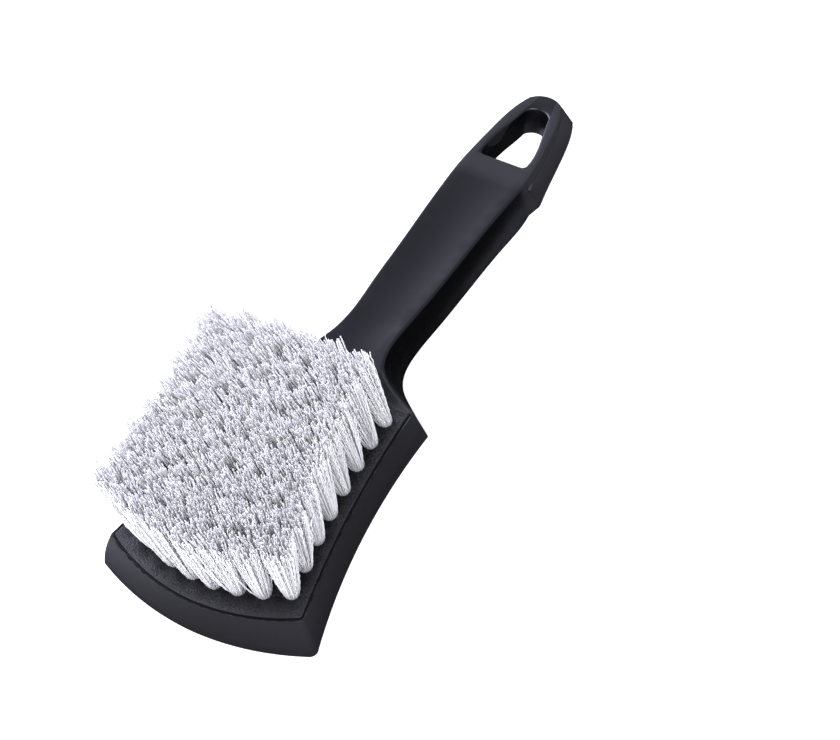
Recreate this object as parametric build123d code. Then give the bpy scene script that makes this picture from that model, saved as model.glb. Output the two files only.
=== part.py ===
from build123d import *
import os
from math import sqrt

# Hand-held wheel brush: one moulded body (head, throat, grip and hanging loop) and bristle tufts, each
# held in its own blind hole by a flat wire anchor. Millimetres. The flat back lies on z = 0, the bristles
# point up (+Z) and the handle runs towards +X. The origin is under the middle of the overall length.

os.makedirs("parts", exist_ok=True)

# ---- overall ----
length = 240.0
mould_top_z = 23.0
mould_middle_z = 9.0

# ---- head: (x, y) of its corners at the back face, at the top of the skirt and on the deck ----
deck_z = 14.2
back_apex_x = -length / 2
back_front = (-110.3, 41.9)
back_rear = (-21.7, 31.2)
back_side_bow = 4.4
skirt_apex_x = -117.05
skirt_front = (-107.0, 37.25)
skirt_rear = (-22.8, 28.1)
skirt_bulge = 0.5
deck_apex_x = -116.0
deck_front = (-106.0, 36.2)
deck_rear = (-23.4, 27.1)
deck_side_bow = 2.4
corner_run_low = 3.0
corner_run_high = 1.6
deck_corner_run = 1.2
corner_fullness = 0.55
rim_edge_radius = 0.7
base_edge_radius = 0.5

# ---- groove that parts the deck from the skirt ----
groove_width = 0.7
groove_floor_z = 12.8
groove_run_out = 1.2
groove_front_share = 0.3
skirt_top_z = 13.8
deck_edge_radius = 0.35
deck_end_x = -24.5

# ---- throat, grip and loop rim: back-face point, rim point, rim height, hollow of the wall between ----
handle_wall = [
    ((-17.5, 24.9), (-21.2, 22.2), 16.2, -0.5),
    ((-12.9, 18.6), (-19.4, 17.6), 18.4, 0.1),
    ((-9.0, 14.1), (-16.8, 14.1), 20.3, 0.5),
    ((-4.2, 11.4), (-12.6, 12.0), 21.1, 0.9),
    ((4.0, 10.3), (-5.0, 10.7), 20.4, 1.1),
    ((18.0, 11.4), (14.0, 11.2), 17.8, 1.2),
    ((38.0, 13.1), (38.0, 12.0), 15.9, 1.2),
    ((58.0, 14.9), (58.0, 12.6), 14.5, 1.0),
    ((73.0, 16.0), (74.0, 13.0), 12.5, 0.5),
    ((86.0, 13.5), (86.0, 12.7), 11.0, 0.0),
    ((99.0, 11.8), (99.0, 11.2), 9.9, 0.0),
    ((109.0, 9.7), (109.2, 9.3), 9.3, 0.0),
    ((116.0, 6.9), (116.2, 6.7), 9.0, 0.0),
]
tip_back_x = 118.7
tip_rim_x = 119.2

# ---- top face of the handle: x, height down the middle, radius of the dish across it ----
ridge = [
    (-24.5, 14.2, 9000.0),
    (-22.5, 15.2, 5000.0),
    (-20.5, 17.2, 900.0),
    (-18.0, 19.4, 300.0),
    (-15.5, 20.4, 140.0),
    (-12.0, 20.4, 80.0),
    (-7.0, 19.6, 60.0),
    (4.0, 17.8, 56.0),
    (20.0, 16.1, 56.0),
    (38.0, 14.7, 60.0),
    (56.0, 13.5, 70.0),
    (72.0, 12.0, 120.0),
    (84.0, 10.9, 500.0),
    (100.0, 9.8, 900.0),
    (122.0, 8.7, 900.0),
]
ridge_half_width = 34.0

# ---- hanging loop: bevelled flank outside the rim, then the hole ----
flank_low = [(74.0, 15.4), (80.4, 17.3), (90.0, 15.7), (99.5, 14.4), (107.0, 13.2), (113.0, 11.7)]
flank_high = [(77.6, 11.0), (78.8, 14.7), (89.0, 13.4), (98.5, 12.1), (106.0, 10.5), (112.0, 8.6)]
flank_low_tip = (117.7, 9.6)
flank_high_tip = (116.8, 6.9)
flank_high_tip_x = 119.4
flank_high_z = (8.8, 7.0)
flank_edge_radius = 0.6
hole_top_z = 12.0
hole_lip_radius = 0.9
hole_corner_radius = 1.6
hole_low = [(86.0, 7.9), (92.0, 8.0), (99.0, 6.3), (106.3, 4.4)]
hole_high = [(85.0, 9.0), (92.0, 9.1), (102.0, 7.0), (110.8, 4.7)]
hole_low_end_x = 108.3
hole_high_end_x = 113.8

# ---- bristle tufts, in rows across the head ----
row_x = [-99.7, -89.3, -79.0, -69.0, -59.0, -49.0, -39.5, -30.0]
row_half_width = [28.7, 27.1, 25.3, 24.0, 22.9, 22.2, 21.6, 21.5]
row_count = [8, 8, 7, 7, 7, 6, 6, 6]
front_row_sag = 7.7
tuft_radius = 2.5
tuft_tip_radius = 3.6
tuft_length = 37.0
tuft_hole_depth = 9.0

# ---- lean of the tufts' tips: (front row, rear row), the splay added at the ends of a row ----
lean_x = -3.8
lean_x_corner = -5.0
lean_y = (-0.5, 8.5)
splay_y = (3.5, 5.0)

# ---- flat wire anchor across the fold of each tuft ----
anchor_length = 5.6
anchor_thickness = 0.4
anchor_height = 1.8
anchor_rise = 0.6

# ---- reach of the blocks that trim the head, wider and longer than it ----
trim_front_x = -140.0
trim_width = 120.0
trim_margin = 1.0
near = 0.01

# ---- which edges are which: the rim's are long and high, the lobes' short and just behind the deck ----
rim_above_z = 8.0
rim_edge_length = 12.0
lobe_reach = 3.5
lobe_edge_length = 20.0
lip_above_z = 7.0
lip_edge_length = 40.0
lip_reach_y = (12.2, 0.25)


def rounded(shape, radius, wanted):
    """Shape with the edges whose middle point and length are wanted rounded to a radius."""
    edges = [edge for edge in shape.edges() if wanted(edge @ 0.5, edge.length)]
    return shape.fillet(radius, edges)


def between(start, end, share):
    """Point part of the way from start to end."""
    return tuple(a + (b - a) * share for a, b in zip(start, end))


def wall_point(low, rim, rim_z, hollow, z):
    """Point of a side wall at height z: a parabola through the back face and the rim."""
    share = z / rim_z
    x, y = between(low, rim, share)
    return (x, y - 4 * hollow * share * (1 - share))


def bowed_middle(start, end, bow):
    """Middle point of an arc from start to end that bows towards the head's middle line."""
    x, y = between(start, end, 0.5)
    run = (end[0] - start[0], end[1] - start[1])
    size = sqrt(run[0] ** 2 + run[1] ** 2)
    return (x + run[1] / size * bow, y - run[0] / size * bow)


def rounded_half(apex_x, front, rear, bow, corner_run):
    """Front arc, rounded front corner and bowed side of one half of the head."""
    front_middle = (between((apex_x, 0), front, 0.25)[0], front[1] / 2)
    front_arc = ThreePointArc((apex_x, 0), front_middle, front)
    side_arc = ThreePointArc(front, bowed_middle(front, rear, bow), rear)
    front_share = 1 - corner_run / front_arc.length
    side_share = corner_run / side_arc.length
    corner_start = front_arc.position_at(front_share)
    corner_end = side_arc.position_at(side_share)
    corner_middle = Vector(*front) * corner_fullness + (corner_start + corner_end) * (1 - corner_fullness) / 2
    return [
        ThreePointArc((apex_x, 0), front_arc.position_at(front_share / 2), corner_start),
        ThreePointArc(corner_start, corner_middle, corner_end),
        ThreePointArc(corner_end, side_arc.position_at((1 + side_share) / 2), rear),
    ]


def closed_face(half, tip_corner, tip_x, z):
    """Face at height z from one half outline, its mirror image and the arc round the tip."""
    tip = ThreePointArc(tip_corner, (tip_x, 0), (tip_corner[0], -tip_corner[1]))
    other = [edge.mirror(Plane.XZ) for edge in half]
    return Pos(0, 0, z) * Face(Wire(half + [tip] + other))


def body_level(z):
    """Outline of the whole body at one height."""
    head_share = z / deck_z
    bulge = skirt_bulge * 4 * head_share * (1 - head_share)
    apex_x = between((back_apex_x, 0), (skirt_apex_x, 0), head_share)[0] - bulge
    front_x, front_y = between(back_front, skirt_front, head_share)
    rear = between(back_rear, skirt_rear, head_share)
    bow, corner_run = between((back_side_bow, corner_run_low), (deck_side_bow, corner_run_high), head_share)
    half = rounded_half(apex_x, (front_x - bulge, front_y + bulge), rear, bow, max(corner_run, rim_edge_radius))
    curve = [wall_point(low, rim, rim_z, hollow, z) for low, rim, rim_z, hollow in handle_wall]
    half.append(Spline(rear, *curve))
    tip_x = between((tip_back_x, 0), (tip_rim_x, 0), z / handle_wall[-1][2])[0]
    return closed_face(half, curve[-1], tip_x, z)


def dished_section(x, height, radius):
    """Cross-section of the space under the top face, its top edge dished."""
    rise = ridge_half_width ** 2 / (2 * radius)
    left = (-ridge_half_width, height + rise)
    right = (ridge_half_width, height + rise)
    low_left = (-ridge_half_width, -trim_margin)
    low_right = (ridge_half_width, -trim_margin)
    outline = Wire([
        Line(low_left, left),
        ThreePointArc(left, (0, height), right),
        Line(right, low_right),
        Line(low_right, low_left),
    ])
    return Plane((x, 0, 0), x_dir=(0, 1, 0), z_dir=(1, 0, 0)) * Face(outline)


def head_block(end_x, low_z, high_z):
    """Block round the head from in front of it back to end_x, between two heights."""
    middle = Pos((trim_front_x + end_x) / 2, 0, (low_z + high_z) / 2)
    return middle * Box(end_x - trim_front_x, trim_width, high_z - low_z)


def top_envelope():
    """Everything under the skirt's top and under the dished top face of the handle."""
    handle = loft([dished_section(*station) for station in ridge])
    return head_block(deck_end_x, -trim_margin, skirt_top_z) + handle


def deck_face(grow):
    """Plan of the deck, grown outwards by a margin and closed across the throat."""
    front = (deck_front[0] - groove_front_share * grow, deck_front[1] + grow)
    rear = (deck_rear[0], deck_rear[1] + grow)
    half = rounded_half(deck_apex_x - grow, front, rear, deck_side_bow, deck_corner_run + grow)
    other = [edge.mirror(Plane.XZ) for edge in half]
    across = Line(rear, (rear[0], -rear[1]))
    return Face(Wire(half + [across] + other))


def deck_plateau():
    plateau = extrude(Pos(0, 0, groove_floor_z) * deck_face(0), deck_z - groove_floor_z, dir=(0, 0, 1))
    return plateau & head_block(deck_end_x, 0, mould_top_z)


def groove_ring():
    plan = deck_face(groove_width) - deck_face(0)
    ring = extrude(Pos(0, 0, groove_floor_z) * plan, mould_top_z - groove_floor_z, dir=(0, 0, 1))
    return ring & head_block(deck_end_x + groove_run_out, 0, mould_top_z)


def flank_face(points, tip_corner, tip_x, z):
    start = [Line((points[0][0], 0), points[0]), Line(points[0], points[1])]
    return closed_face(start + [Spline(*points[1:], tip_corner)], tip_corner, tip_x, z)


def loop_flank():
    """Bevelled flank round the hanging loop, lower than the rim, its top sloping down to the tip."""
    start_x = flank_high[0][0]
    rise, run = flank_high_z[1] - flank_high_z[0], length / 2 - start_x
    slope = Plane((start_x, 0, flank_high_z[0]), x_dir=(run, 0, rise), z_dir=(-rise, 0, run))
    low_face = flank_face(flank_low, flank_low_tip, length / 2, 0)
    high_face = flank_face(flank_high, flank_high_tip, flank_high_tip_x, 0)
    return loft([low_face, slope * (Pos(-start_x, 0, 0) * high_face)], ruled=True)


def hole_face(points, end_x, z):
    half = [Line((points[0][0], 0), points[0]), Spline(*points)]
    return closed_face(half, points[-1], end_x, z)


def hang_hole():
    """Tapered hole of the hanging loop; only its two corners next to the grip are rounded."""
    low = hole_face(hole_low, hole_low_end_x, -near)
    high = hole_face(hole_high, hole_high_end_x, hole_top_z)
    hole = loft([low, high], ruled=True)
    return rounded(hole, hole_corner_radius, lambda middle, size: (
        near < middle.Z < hole_top_z - near and middle.X < hole_low[1][0]))


def tuft_tip(base, back_share, across):
    """Tip of a tuft: the bristles are pushed over, more so towards the rear and the +Y side."""
    lean, splay = between((lean_y[0], splay_y[0]), (lean_y[1], splay_y[1]), back_share)
    corner = lean_x_corner * back_share * max(across, 0) ** 2
    return (base[0] + lean_x + corner, base[1] + lean + splay * across)


def tuft_places():
    """Row, column, base point and tip point of every tuft."""
    places = []
    for row, count in enumerate(row_count):
        back_share = row / (len(row_count) - 1)
        for column in range(count):
            across = 2 * column / (count - 1) - 1
            sag = front_row_sag * (1 - back_share) * (1 - across ** 2)
            base = (row_x[row] - sag, row_half_width[row] * across)
            places.append((row + 1, column + 1, base, tuft_tip(base, back_share, across)))
    return places


def anchor(base):
    z = deck_z - tuft_hole_depth + anchor_rise + anchor_height / 2
    return Pos(base[0], base[1], z) * Box(anchor_thickness, anchor_length, anchor_height)


def stem(base):
    """The part of a tuft inside the body, which is also the hole it stands in."""
    return Pos(base[0], base[1], deck_z - tuft_hole_depth / 2) * Cylinder(tuft_radius, tuft_hole_depth)


def tuft(base, tip):
    """Bundle of bristles: a stem in its hole, then a flared part that leans outwards."""
    foot = Pos(base[0], base[1], deck_z) * Circle(tuft_radius)
    head = Pos(tip[0], tip[1], deck_z + tuft_length) * Circle(tuft_tip_radius)
    return stem(base) + loft([foot, head], ruled=True) - anchor(base)


def core():
    """Head, throat and grip up to the loop's rim, without the deck."""
    moulding = loft([body_level(0), body_level(mould_middle_z), body_level(mould_top_z)])
    moulding = moulding & top_envelope()
    moulding = rounded(moulding, base_edge_radius, lambda middle, size: abs(middle.Z) < near)
    return rounded(moulding, rim_edge_radius, lambda middle, size: (
        (middle.X > 0 and middle.Z > rim_above_z and size > rim_edge_length)
        or (near < middle.X - deck_end_x < lobe_reach and size < lobe_edge_length)))


def pierced_core(hole):
    """Core with the hanging loop's hole through it, its lip at the top rounded."""
    return rounded(core() - hole, hole_lip_radius, lambda middle, size: (
        middle.Z > lip_above_z and middle.X > hole_high[0][0] - 0.5 and size < lip_edge_length
        and abs(middle.Y) < lip_reach_y[0] - lip_reach_y[1] * (middle.X - hole_high[0][0])))


def body(places):
    """The one-piece moulding with its tuft holes."""
    hole = hang_hole()
    flank = rounded(loop_flank(), flank_edge_radius, lambda middle, size: middle.X > flank_low[1][0] - 0.5)
    deck = rounded(deck_plateau(), deck_edge_radius, lambda middle, size: (
        middle.Z > deck_z - near and middle.X < deck_end_x - near))
    moulding = pierced_core(hole) + (flank - hole) - groove_ring() + deck
    for _, _, base, _ in places:
        moulding -= stem(base)
        moulding -= anchor(base)
    return moulding


places = tuft_places()
export_step(body(places), "parts/body.step")
for row, column, base, tip in places:
    export_step(tuft(base, tip), f"parts/tuft_r{row}_c{column}.step")
export_step(Compound(children=[anchor(base) for _, _, base, _ in places]), "parts/tuft_anchors.step")
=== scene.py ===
import bpy
import bmesh
import random
from math import cos, pi, radians, sin, sqrt
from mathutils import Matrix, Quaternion, Vector


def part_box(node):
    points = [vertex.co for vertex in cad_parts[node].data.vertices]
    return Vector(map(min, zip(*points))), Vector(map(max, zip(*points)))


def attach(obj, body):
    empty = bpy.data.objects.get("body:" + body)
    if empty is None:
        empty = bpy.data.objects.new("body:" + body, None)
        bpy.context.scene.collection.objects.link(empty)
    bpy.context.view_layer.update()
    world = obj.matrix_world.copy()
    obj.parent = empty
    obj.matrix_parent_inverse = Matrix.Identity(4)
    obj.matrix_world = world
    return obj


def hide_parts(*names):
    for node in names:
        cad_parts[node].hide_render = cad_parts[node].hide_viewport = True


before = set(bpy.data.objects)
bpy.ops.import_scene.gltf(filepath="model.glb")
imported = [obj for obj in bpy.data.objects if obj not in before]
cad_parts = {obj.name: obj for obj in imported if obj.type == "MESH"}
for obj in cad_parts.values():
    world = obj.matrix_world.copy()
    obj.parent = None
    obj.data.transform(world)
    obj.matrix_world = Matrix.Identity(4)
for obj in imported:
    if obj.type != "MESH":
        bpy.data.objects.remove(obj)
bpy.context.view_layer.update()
mm = 0.001
random.seed(7)


def linear(hexColour):
    # sRGB hex to the linear colour that shaders and lights take
    channels = [int(hexColour[i:i + 2], 16) / 255 for i in (1, 3, 5)]
    return [c / 12.92 if c <= 0.04045 else ((c + 0.055) / 1.055) ** 2.4 for c in channels]


def addNode(tree, kind, settings=None, links=None):
    # settings go to the node's properties or sockets, links name the output that feeds each socket
    node = tree.nodes.new(kind)
    for name, value in (settings or {}).items():
        if isinstance(name, int) or name in node.inputs:
            node.inputs[name].default_value = value
        else:
            setattr(node, name, value)
    for name, output in (links or {}).items():
        tree.links.new(output, node.inputs[name])
    return node


def newMaterial(name):
    material = bpy.data.materials.new(name)
    material.use_nodes = True
    material.node_tree.nodes.clear()
    return material, material.node_tree


def placeCamera():
    shot = {"azimuth": -49.2, "elevation": 53.15, "roll": -12.75,   # degrees
            "distance": 0.980, "nearest": 0.05, "farthest": 20,     # m
            "lens": 125.9, "sensor": 36,                            # mm
            "aim": (-3.71 * mm, -18.4 * mm, 8 * mm)}
    around, up = radians(shot["azimuth"]), radians(shot["elevation"])
    back = Vector((sin(around) * cos(up), -cos(around) * cos(up), sin(up)))
    camera = bpy.data.objects.new("camera", bpy.data.cameras.new("camera"))
    camera.data.lens = shot["lens"]
    camera.data.sensor_width = shot["sensor"]
    camera.data.clip_start = shot["nearest"]
    camera.data.clip_end = shot["farthest"]
    camera.location = Vector(shot["aim"]) + back * shot["distance"]
    camera.rotation_mode = "QUATERNION"
    roll = Quaternion((0, 0, 1), radians(shot["roll"]))
    camera.rotation_quaternion = (-back).to_track_quat("-Z", "Y") @ roll
    bpy.context.scene.collection.objects.link(camera)
    bpy.context.scene.camera = camera


def softbox(name, centre, size, watts, colour):
    # area light turned to the middle of the brush
    light = bpy.data.lights.new(name, "AREA")
    light.shape = "RECTANGLE"
    light.size, light.size_y = size
    light.energy = watts
    light.color = linear(colour)
    lamp = bpy.data.objects.new(name, light)
    lamp.location = centre
    lamp.rotation_mode = "QUATERNION"
    lamp.rotation_quaternion = Vector(centre).to_track_quat("Z", "Y")
    bpy.context.scene.collection.objects.link(lamp)


def lightStudio():
    studio = {"floorSide": 6.0, "floorDrop": 0.05,          # m, mm
              "floorColour": "#f7f7f7", "floorGlow": 0.5,
              "sky": "#eceeff", "skyStrength": 0.62, "belowStrength": 0.01,
              "darkBelow": -0.60, "brightAbove": -0.32,     # height of a direction, -1 down to 1 up
              "sideExtra": 2.2, "sideFrom": 0.30, "sideTo": 0.78,
              "sideSoftbox": {"centre": (0.2, 1.1, 0.5), "size": (0.9, 0.4),
                              "watts": 12, "colour": "#e6e9ff"},
              "cameraFill": {"centre": (-0.75, -0.35, 1.3), "size": (0.8, 0.8),
                             "watts": 20, "colour": "#fffefa"}}
    floorMesh = bmesh.new()
    bmesh.ops.create_grid(floorMesh, x_segments=1, y_segments=1, size=studio["floorSide"] / 2)
    bmesh.ops.translate(floorMesh, verts=floorMesh.verts, vec=(0, 0, -studio["floorDrop"] * mm))
    mesh = bpy.data.meshes.new("studioFloor")
    floorMesh.to_mesh(mesh)
    floorMesh.free()
    floor = bpy.data.objects.new("studioFloor", mesh)
    bpy.context.scene.collection.objects.link(floor)
    material, tree = newMaterial("litWhiteAcrylic")
    acrylic = addNode(tree, "ShaderNodeBsdfPrincipled",
                      {"Base Color": (*linear(studio["floorColour"]), 1), "Roughness": 1.0,
                       "Emission Color": (1, 1, 1, 1), "Emission Strength": studio["floorGlow"]})
    addNode(tree, "ShaderNodeOutputMaterial", links={"Surface": acrylic.outputs[0]})
    mesh.materials.append(material)
    floor.visible_glossy = False   # the black plastic mirrors a dim room below it, not the white table

    world = bpy.data.worlds.new("studio")
    world.use_nodes = True
    bpy.context.scene.world = world
    tree = world.node_tree
    tree.nodes.clear()
    place = addNode(tree, "ShaderNodeTexCoord")
    height = addNode(tree, "ShaderNodeSeparateXYZ", links={0: place.outputs["Generated"]})
    rise = addNode(tree, "ShaderNodeMapRange",
                   {"interpolation_type": "SMOOTHSTEP", "From Min": studio["darkBelow"],
                    "From Max": studio["brightAbove"], "To Min": studio["belowStrength"],
                    "To Max": studio["skyStrength"]}, {"Value": height.outputs["Z"]})
    side = addNode(tree, "ShaderNodeMapRange",
                   {"interpolation_type": "SMOOTHSTEP", "From Min": studio["sideFrom"],
                    "From Max": studio["sideTo"], "To Min": 1.0, "To Max": 1.0 + studio["sideExtra"]},
                   {"Value": height.outputs["Y"]})   # brighter on the +Y side, which the grip's top mirrors
    strength = addNode(tree, "ShaderNodeMath", {"operation": "MULTIPLY"},
                       {0: rise.outputs["Result"], 1: side.outputs["Result"]})
    room = addNode(tree, "ShaderNodeBackground", {"Color": (*linear(studio["sky"]), 1)},
                   {"Strength": strength.outputs[0]})
    # the camera itself sees a white backdrop
    seen = addNode(tree, "ShaderNodeBackground", {"Color": (1, 1, 1, 1), "Strength": 1.0})
    path = addNode(tree, "ShaderNodeLightPath")
    either = addNode(tree, "ShaderNodeMixShader",
                     links={0: path.outputs["Is Camera Ray"], 1: room.outputs[0], 2: seen.outputs[0]})
    addNode(tree, "ShaderNodeOutputWorld", links={"Surface": either.outputs[0]})

    for name in ("sideSoftbox", "cameraFill"):
        softbox(name, **studio[name])
    bpy.context.scene.view_settings.view_transform = "Standard"


placeCamera()
lightStudio()
print("camera, floor and light in place")


def blackPolypropylene(deckZ, deckEndX):
    # Black polypropylene, injection-moulded in one shot from a mould with three surfaces. The grip is
    # polished to a satin that mirrors softly.
    # The skirt and the loop are blasted to a greyer matte. The walls of the hanging hole are left out of
    # the blasted matte and take the grip's darker colour and satin: painted shade in the hole.
    # The deck is spark-eroded, which gives it a dry, sparkling grain.
    finish = {"gripColour": "#070708", "blastedColour": "#1a191b", "glossTint": "#f2f2ff", "ior": 1.49,
              "gripRoughness": 0.27, "blastedRoughness": 0.50, "deckRoughness": 0.46,
              "skirtTo": (-14, -24), "loopFrom": (72, 80),   # mm along the handle, where finishes meet
              "holeFrom": 84.8, "holeWideAt": 88,            # mm along the handle
              "holeSide": 9.4, "holeNarrows": 0.2,           # mm aside there, mm per mm beyond
              "deckBand": 0.12,                              # mm
              # the real grain is finer and would not show
              "blastedGrain": 0.45, "blastedDepth": 0.012, "blastedDetail": 1.0,   # mm, mm, octaves
              "sparkGrain": 0.7, "sparkDepth": 0.55,                               # mm
              "sparkDetail": 3.0, "sparkFalloff": 0.65}
    material, tree = newMaterial("blackPolypropylene")
    place = addNode(tree, "ShaderNodeTexCoord")
    axes = addNode(tree, "ShaderNodeSeparateXYZ", links={0: place.outputs["Object"]})
    highUp = addNode(tree, "ShaderNodeMath",
                     {"operation": "GREATER_THAN", 1: deckZ - finish["deckBand"] * mm},
                     {0: axes.outputs["Z"]})
    onHead = addNode(tree, "ShaderNodeMath", {"operation": "LESS_THAN", 1: deckEndX},
                     {0: axes.outputs["X"]})
    deck = addNode(tree, "ShaderNodeMath", {"operation": "MULTIPLY"},
                   {0: highUp.outputs[0], 1: onHead.outputs[0]})
    skirt = addNode(tree, "ShaderNodeMapRange",
                    {"interpolation_type": "SMOOTHSTEP", "From Min": finish["skirtTo"][0] * mm,
                     "From Max": finish["skirtTo"][1] * mm}, {"Value": axes.outputs["X"]})
    loop = addNode(tree, "ShaderNodeMapRange",
                   {"interpolation_type": "SMOOTHSTEP", "From Min": finish["loopFrom"][0] * mm,
                    "From Max": finish["loopFrom"][1] * mm}, {"Value": axes.outputs["X"]})
    # mask of the hanging hole's walls, which take the grip's darker colour as painted shade in the hole,
    # and its satin roughness
    aside = addNode(tree, "ShaderNodeMath", {"operation": "ABSOLUTE"}, {0: axes.outputs["Y"]})
    narrowed = addNode(tree, "ShaderNodeMath", {"operation": "MULTIPLY_ADD", 1: finish["holeNarrows"]},
                       {0: axes.outputs["X"], 2: aside.outputs[0]})
    reach = (finish["holeSide"] + finish["holeWideAt"] * finish["holeNarrows"]) * mm
    outsideHole = addNode(tree, "ShaderNodeMath", {"operation": "GREATER_THAN", 1: reach},
                          {0: narrowed.outputs[0]})
    beforeHole = addNode(tree, "ShaderNodeMath", {"operation": "LESS_THAN", 1: finish["holeFrom"] * mm},
                         {0: axes.outputs["X"]})
    outsideHoleShade = addNode(tree, "ShaderNodeMath", {"operation": "MAXIMUM"},
                      {0: outsideHole.outputs[0], 1: beforeHole.outputs[0]})
    eitherEnd = addNode(tree, "ShaderNodeMath", {"operation": "MAXIMUM"},
                        {0: skirt.outputs[0], 1: loop.outputs[0]})
    blastedShareOutsideHoleShade = addNode(tree, "ShaderNodeMath", {"operation": "MULTIPLY"},
                           {0: eitherEnd.outputs[0], 1: outsideHoleShade.outputs[0]})
    grain = addNode(tree, "ShaderNodeTexNoise",
                    {"Scale": 1 / (finish["blastedGrain"] * mm), "Detail": finish["blastedDetail"]},
                    {"Vector": place.outputs["Object"]})
    spark = addNode(tree, "ShaderNodeTexNoise",
                    {"Scale": 1 / (finish["sparkGrain"] * mm), "Detail": finish["sparkDetail"],
                     "Roughness": finish["sparkFalloff"]},
                    {"Vector": place.outputs["Object"]})
    outside = addNode(tree, "ShaderNodeMapRange", {"To Min": finish["gripRoughness"],
                                                   "To Max": finish["blastedRoughness"]},
                      {"Value": blastedShareOutsideHoleShade.outputs[0]})
    roughness = addNode(tree, "ShaderNodeMapRange", {"To Max": finish["deckRoughness"]},
                        {"Value": deck.outputs[0], "To Min": outside.outputs[0]})
    colour = addNode(tree, "ShaderNodeMix",
                     {"data_type": "RGBA", 6: (*linear(finish["gripColour"]), 1),
                      7: (*linear(finish["blastedColour"]), 1)}, {0: blastedShareOutsideHoleShade.outputs[0]})
    sparkHeight = addNode(tree, "ShaderNodeMath", {"operation": "MULTIPLY"},
                          {0: spark.outputs[0], 1: deck.outputs[0]})
    fineBump = addNode(tree, "ShaderNodeBump", {"Distance": finish["blastedDepth"] * mm},
                       {"Height": grain.outputs[0]})
    bump = addNode(tree, "ShaderNodeBump", {"Distance": finish["sparkDepth"] * mm},
                   {"Height": sparkHeight.outputs[0], "Normal": fineBump.outputs[0]})
    plastic = addNode(tree, "ShaderNodeBsdfPrincipled",
                      {"IOR": finish["ior"], "Specular Tint": (*linear(finish["glossTint"]), 1)},
                      {"Base Color": colour.outputs[2], "Roughness": roughness.outputs[0],
                       "Normal": bump.outputs[0]})
    addNode(tree, "ShaderNodeOutputMaterial", links={"Surface": plastic.outputs[0]})
    return material


def mouldedBody(deckZ):
    build = {"weld": 0.002, "edgeAngle": 28, "deckEndX": -24.3}   # mm, degrees, mm
    shell = bmesh.new()
    shell.from_mesh(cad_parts["body"].data)
    bmesh.ops.remove_doubles(shell, verts=shell.verts, dist=build["weld"] * mm)
    mesh = bpy.data.meshes.new("mouldedBody")
    shell.to_mesh(mesh)
    shell.free()
    mesh.polygons.foreach_set("use_smooth", [True] * len(mesh.polygons))
    mesh.set_sharp_from_angle(angle=radians(build["edgeAngle"]))
    mesh.materials.append(blackPolypropylene(deckZ, build["deckEndX"] * mm))
    piece = bpy.data.objects.new("mouldedBody", mesh)
    bpy.context.scene.collection.objects.link(piece)
    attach(piece, "root")
    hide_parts("body")


def whiteMonofilament():
    # White polypropylene monofilament, drawn and crimped: satin threads with light spread inside them, so a
    # tuft reads as cool white with grey only in its depth.
    finish = {"colour": "#fbfbfd", "shade": "#efeff4", "roughness": 0.55, "ior": 1.49,
              "patch": 2.5, "patchDetail": 1.0,    # mm, octaves
              "inside": 0.8, "depth": 1.2}         # share of light spread in a thread, how far in mm
    material, tree = newMaterial("whiteMonofilament")
    place = addNode(tree, "ShaderNodeTexCoord")
    patches = addNode(tree, "ShaderNodeTexNoise",
                      {"Scale": 1 / (finish["patch"] * mm), "Detail": finish["patchDetail"]},
                      {"Vector": place.outputs["Object"]})
    colour = addNode(tree, "ShaderNodeMix",
                     {"data_type": "RGBA", 6: (*linear(finish["shade"]), 1),
                      7: (*linear(finish["colour"]), 1)}, {0: patches.outputs[0]})
    thread = addNode(tree, "ShaderNodeBsdfPrincipled",
                     {"Roughness": finish["roughness"], "IOR": finish["ior"],
                      "Subsurface Weight": finish["inside"], "Subsurface Radius": (1, 1, 1),
                      "Subsurface Scale": finish["depth"] * mm}, {"Base Color": colour.outputs[2]})
    addNode(tree, "ShaderNodeOutputMaterial", links={"Surface": thread.outputs[0]})
    return material


bristle = {
    "perTuft": 180, "thickness": 0.42,                    # mm
    "steps": 16, "buried": 1.5,                           # mm shown inside the hole's mouth
    "crimpPitch": 5.0, "crimpDepth": 0.24,                # mm
    "crimpAtFoot": 0.3,                                   # share of the crimp that shows at the hole
    "fan": 1.66, "clumps": 14, "clumping": 0.38,          # fan: spread at the tips over the CAD tuft's
    "fanShape": 0.70, "leanShape": 0.95,                  # under 1 opens low down, over 1 near the tip
    "shortest": 3.4, "clumpShort": 1.9, "wander": 0.55,   # mm
    "strays": 0.06, "straySpread": 1.7,
    "ringBand": 0.05,                                     # mm
}


def levelRing(node, z):
    # centre and radius of a CAD tuft at one height
    ring = [v.co for v in node.data.vertices if abs(v.co.z - z) < bristle["ringBand"] * mm]
    low = Vector([min(p[i] for p in ring) for i in range(3)])
    high = Vector([max(p[i] for p in ring) for i in range(3)])
    return (low + high) / 2, (high.y - low.y) / 2


def sunflower(index, count):
    # evenly spread places in a unit disc
    radius = sqrt((index + 0.5) / count)
    angle = index * pi * (3 - sqrt(5))
    return Vector((radius * cos(angle), radius * sin(angle), 0))


def threadPath(foot, lean, spread, fullLength, chance):
    # one crimped filament from inside the hole to its tip
    points = []
    crimpSide = Vector((cos(chance["turn"]), sin(chance["turn"]), 0))
    start = -bristle["buried"] * mm
    for step in range(bristle["steps"] + 1):
        z = start + (fullLength - start) * step / bristle["steps"]
        above = max(0.0, z / fullLength)
        wave = sin(2 * pi * z / (bristle["crimpPitch"] * mm) + chance["phase"])
        wave = wave * bristle["crimpDepth"] * mm * min(1.0, bristle["crimpAtFoot"] + above)
        level = foot + lean * above ** bristle["leanShape"] + spread * above ** bristle["fanShape"]
        level = level + crimpSide * wave
        points.append(Vector((level.x, level.y, z)))
    return points


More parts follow.
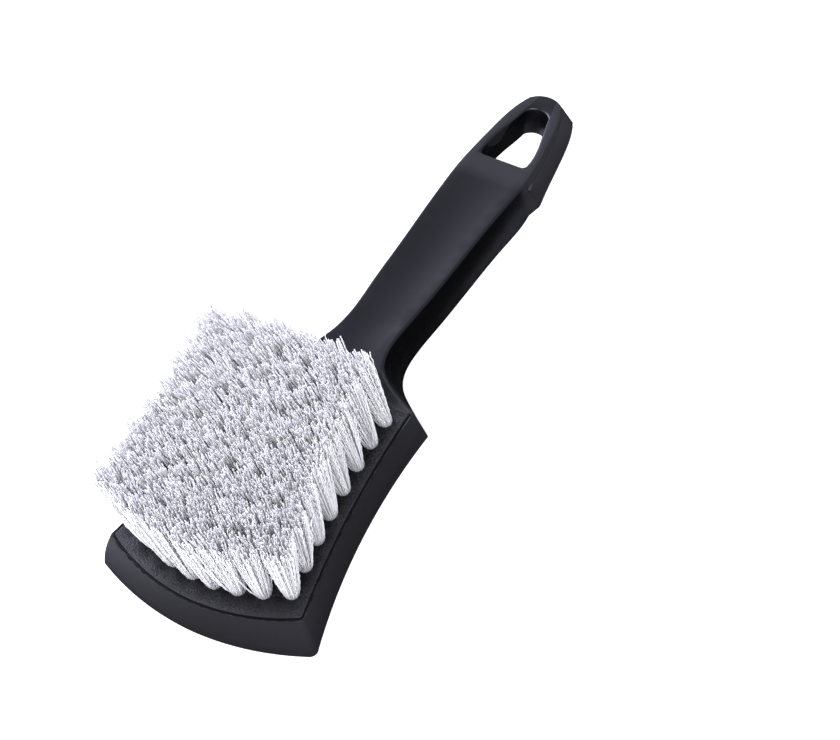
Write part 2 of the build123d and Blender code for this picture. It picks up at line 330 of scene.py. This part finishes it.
def bristleTuft(name, node, deckZ, material):
    low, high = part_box(name)
    base, baseRadius = levelRing(node, low.z)
    top, topRadius = levelRing(node, high.z)
    lean = Vector((top.x - base.x, top.y - base.y, 0))
    curve = bpy.data.curves.new(name, "CURVE")
    curve.dimensions = "3D"
    curve.bevel_depth = bristle["thickness"] / 2 * mm
    curve.bevel_resolution = 0   # a thread is too thin to show more than four sides
    curve.use_fill_caps = True
    clumpPlaces = [sunflower(i, bristle["clumps"]) for i in range(bristle["clumps"])]
    clumpShort = [random.random() * bristle["clumpShort"] * mm for _ in clumpPlaces]
    for index in range(bristle["perTuft"]):
        place = sunflower(index, bristle["perTuft"])
        nearest = min(range(len(clumpPlaces)), key=lambda i: (clumpPlaces[i] - place).length)
        foot = place * (baseRadius - bristle["thickness"] / 2 * mm)
        fan = place.lerp(clumpPlaces[nearest], bristle["clumping"]) * topRadius * bristle["fan"]
        if random.random() < bristle["strays"]:
            fan = fan * (1 + random.random() * (bristle["straySpread"] - 1))
        jitter = Vector((random.gauss(0, 1), random.gauss(0, 1), 0)) * bristle["wander"] * mm
        # squared, so that most threads keep nearly their whole length
        short = clumpShort[nearest] + bristle["shortest"] * mm * random.random() ** 2
        chance = {"turn": random.random() * 2 * pi, "phase": random.random() * 2 * pi}
        points = threadPath(foot + Vector((base.x, base.y, 0)), lean, fan + jitter - foot,
                            high.z - deckZ - short, chance)
        spline = curve.splines.new("POLY")
        spline.points.add(len(points) - 1)
        spline.points.foreach_set("co", [v for p in points for v in (p.x, p.y, p.z + deckZ, 1.0)])
    thread = bpy.data.objects.new(name + "_line", curve)
    mesh = bpy.data.meshes.new_from_object(thread)
    bpy.data.objects.remove(thread)
    mesh.materials.clear()
    mesh.materials.append(material)
    piece = bpy.data.objects.new(name.replace("tuft", "bristles"), mesh)
    bpy.context.scene.collection.objects.link(piece)
    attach(piece, "root")
    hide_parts(name)


def rolledSteel():
    # plain rolled flat steel wire, hidden in the holes
    finish = {"colour": "#c3c3c6", "roughness": 0.35}
    material, tree = newMaterial("rolledSteelWire")
    metal = addNode(tree, "ShaderNodeBsdfPrincipled", {"Base Color": (*linear(finish["colour"]), 1),
                                                       "Metallic": 1.0, "Roughness": finish["roughness"]})
    addNode(tree, "ShaderNodeOutputMaterial", links={"Surface": metal.outputs[0]})
    return material


holeDepth = 9.0   # mm, from the deck down to the bottom of every tuft's hole
tuftNames = sorted(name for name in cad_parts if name.startswith("tuft_r"))
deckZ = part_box(tuftNames[0])[0].z + holeDepth * mm

mouldedBody(deckZ)
print("body skinned")

monofilament = whiteMonofilament()
for tuftName in tuftNames:
    bristleTuft(tuftName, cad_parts[tuftName], deckZ, monofilament)
print("tufts filled:", len(tuftNames))

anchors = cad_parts["tuft_anchors"]
anchors.data.materials.clear()
anchors.data.materials.append(rolledSteel())
print("anchors finished")
